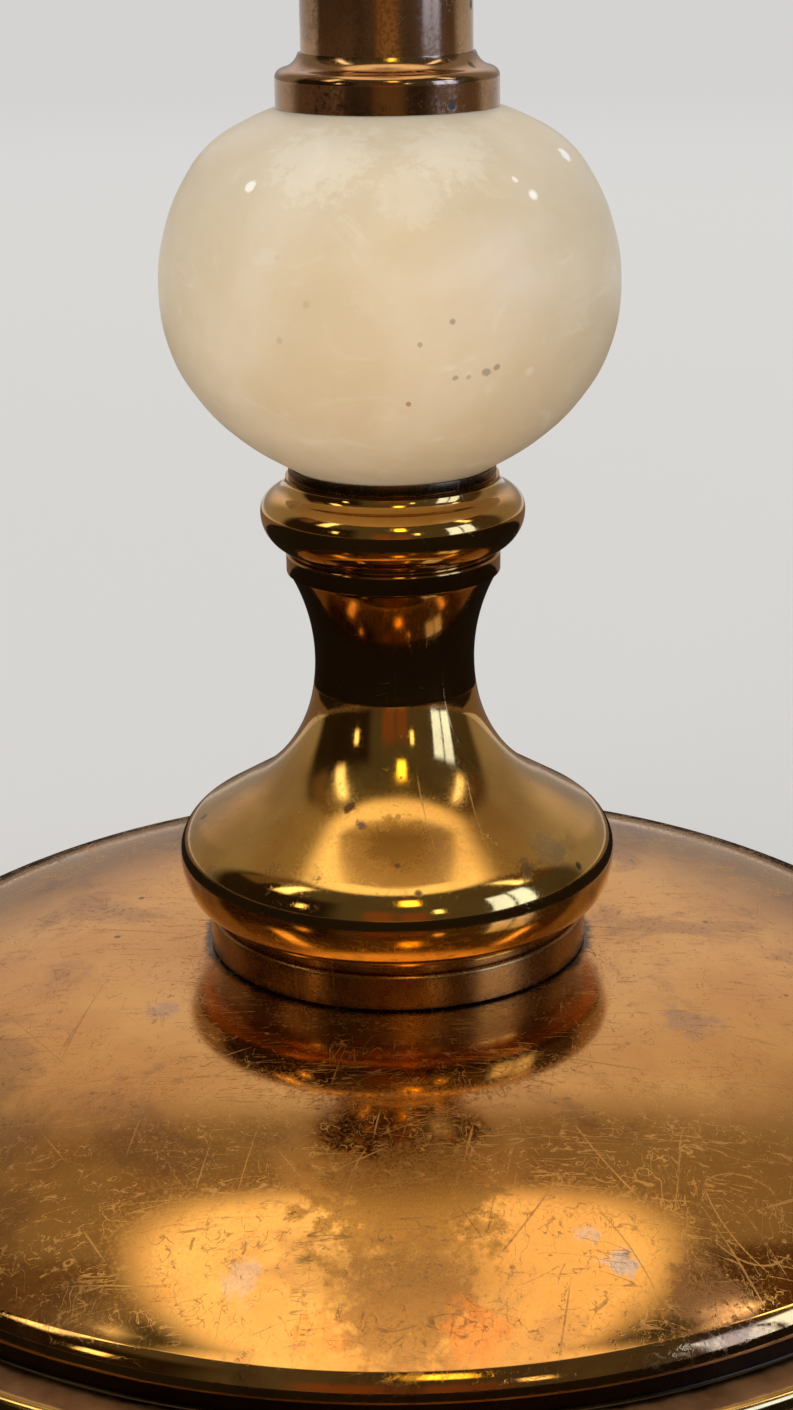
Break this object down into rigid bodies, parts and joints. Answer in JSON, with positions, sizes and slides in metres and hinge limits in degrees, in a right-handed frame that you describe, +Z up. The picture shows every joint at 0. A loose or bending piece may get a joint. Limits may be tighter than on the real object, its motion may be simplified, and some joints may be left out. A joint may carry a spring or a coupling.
{
  "type": "torchiere floor lamp",
  "caption": "Torchiere floor lamp: stepped brass base, turned stem with an alabaster ball, long tube, rotary switch and lift-off opal glass bowl.",
  "frame": {"origin": "on the floor, at the stem axis", "axes": "+Z up along the stem, front towards -Y, switch knob towards +X, cord inlet towards +Y"},
  "size_m": [0.3428, 0.3428, 1.6465],
  "materials": {
    "polished_brass": "worn lacquer over polished brass",
    "tube_brass": "darker toned lacquered brass",
    "alabaster": "polished translucent alabaster",
    "opal_glass": "cased opal glass",
    "bulb_frosted": "inside frosted",
    "cast_iron": "rough cast, black wash",
    "felt": "pressed wool felt",
    "zinc_steel": "zinc plated",
    "rubber": "matte",
    "fibre": "pressed fibre",
    "nylon": "moulded",
    "socket_brass": "plain stamped brass",
    "phenolic": "moulded phenolic",
    "bulb_metal": "plain",
    "black_glass": "gloss"
  },
  "bodies": {
    "stand": {"base_shell": "polished_brass", "foot_ring": "polished_brass", "bell": "polished_brass", "neck": "polished_brass", "neck_bead": "polished_brass", "ball_seat": "polished_brass", "socket_cup": "polished_brass", "shade_holder": "polished_brass", "holder_ring": "polished_brass", "ball_collar": "tube_brass", "column_tube": "tube_brass", "top_collar": "tube_brass", "alabaster_ball": "alabaster", "bulb_glass": "bulb_frosted", "base_weight": "cast_iron", "base_felt": "felt", "base_washer": "zinc_steel", "base_nut": "zinc_steel", "stem_pipe": "zinc_steel", "cup_washer": "zinc_steel", "cup_nut": "zinc_steel", "cord_bushing": "rubber", "bowl_gasket": "rubber", "ball_washers": "fibre", "socket_sleeve": "fibre", "tube_bushes": "nylon", "socket_cap": "socket_brass", "socket_shell": "socket_brass", "socket_screw_shell": "socket_brass", "socket_contact": "socket_brass", "terminal_screws": "socket_brass", "socket_body": "phenolic", "bulb_cap": "bulb_metal", "bulb_contact": "bulb_metal", "bulb_insulator": "black_glass"},
    "switch": {"switch_shaft": "zinc_steel", "switch_knob": "phenolic"},
    "bowl": {"glass_bowl": "opal_glass"}
  },
  "joints": [
    {"name": "switch_turn", "type": "hinge", "parent": "stand", "child": "switch", "pos_m": [0, 0, 1.4676], "axis": [1, 0, 0], "continuous": true},
    {"name": "bowl_lift", "type": "slide", "parent": "stand", "child": "bowl", "axis": [0, 0, 1], "range_m": [0, 0.11]}
  ]
}
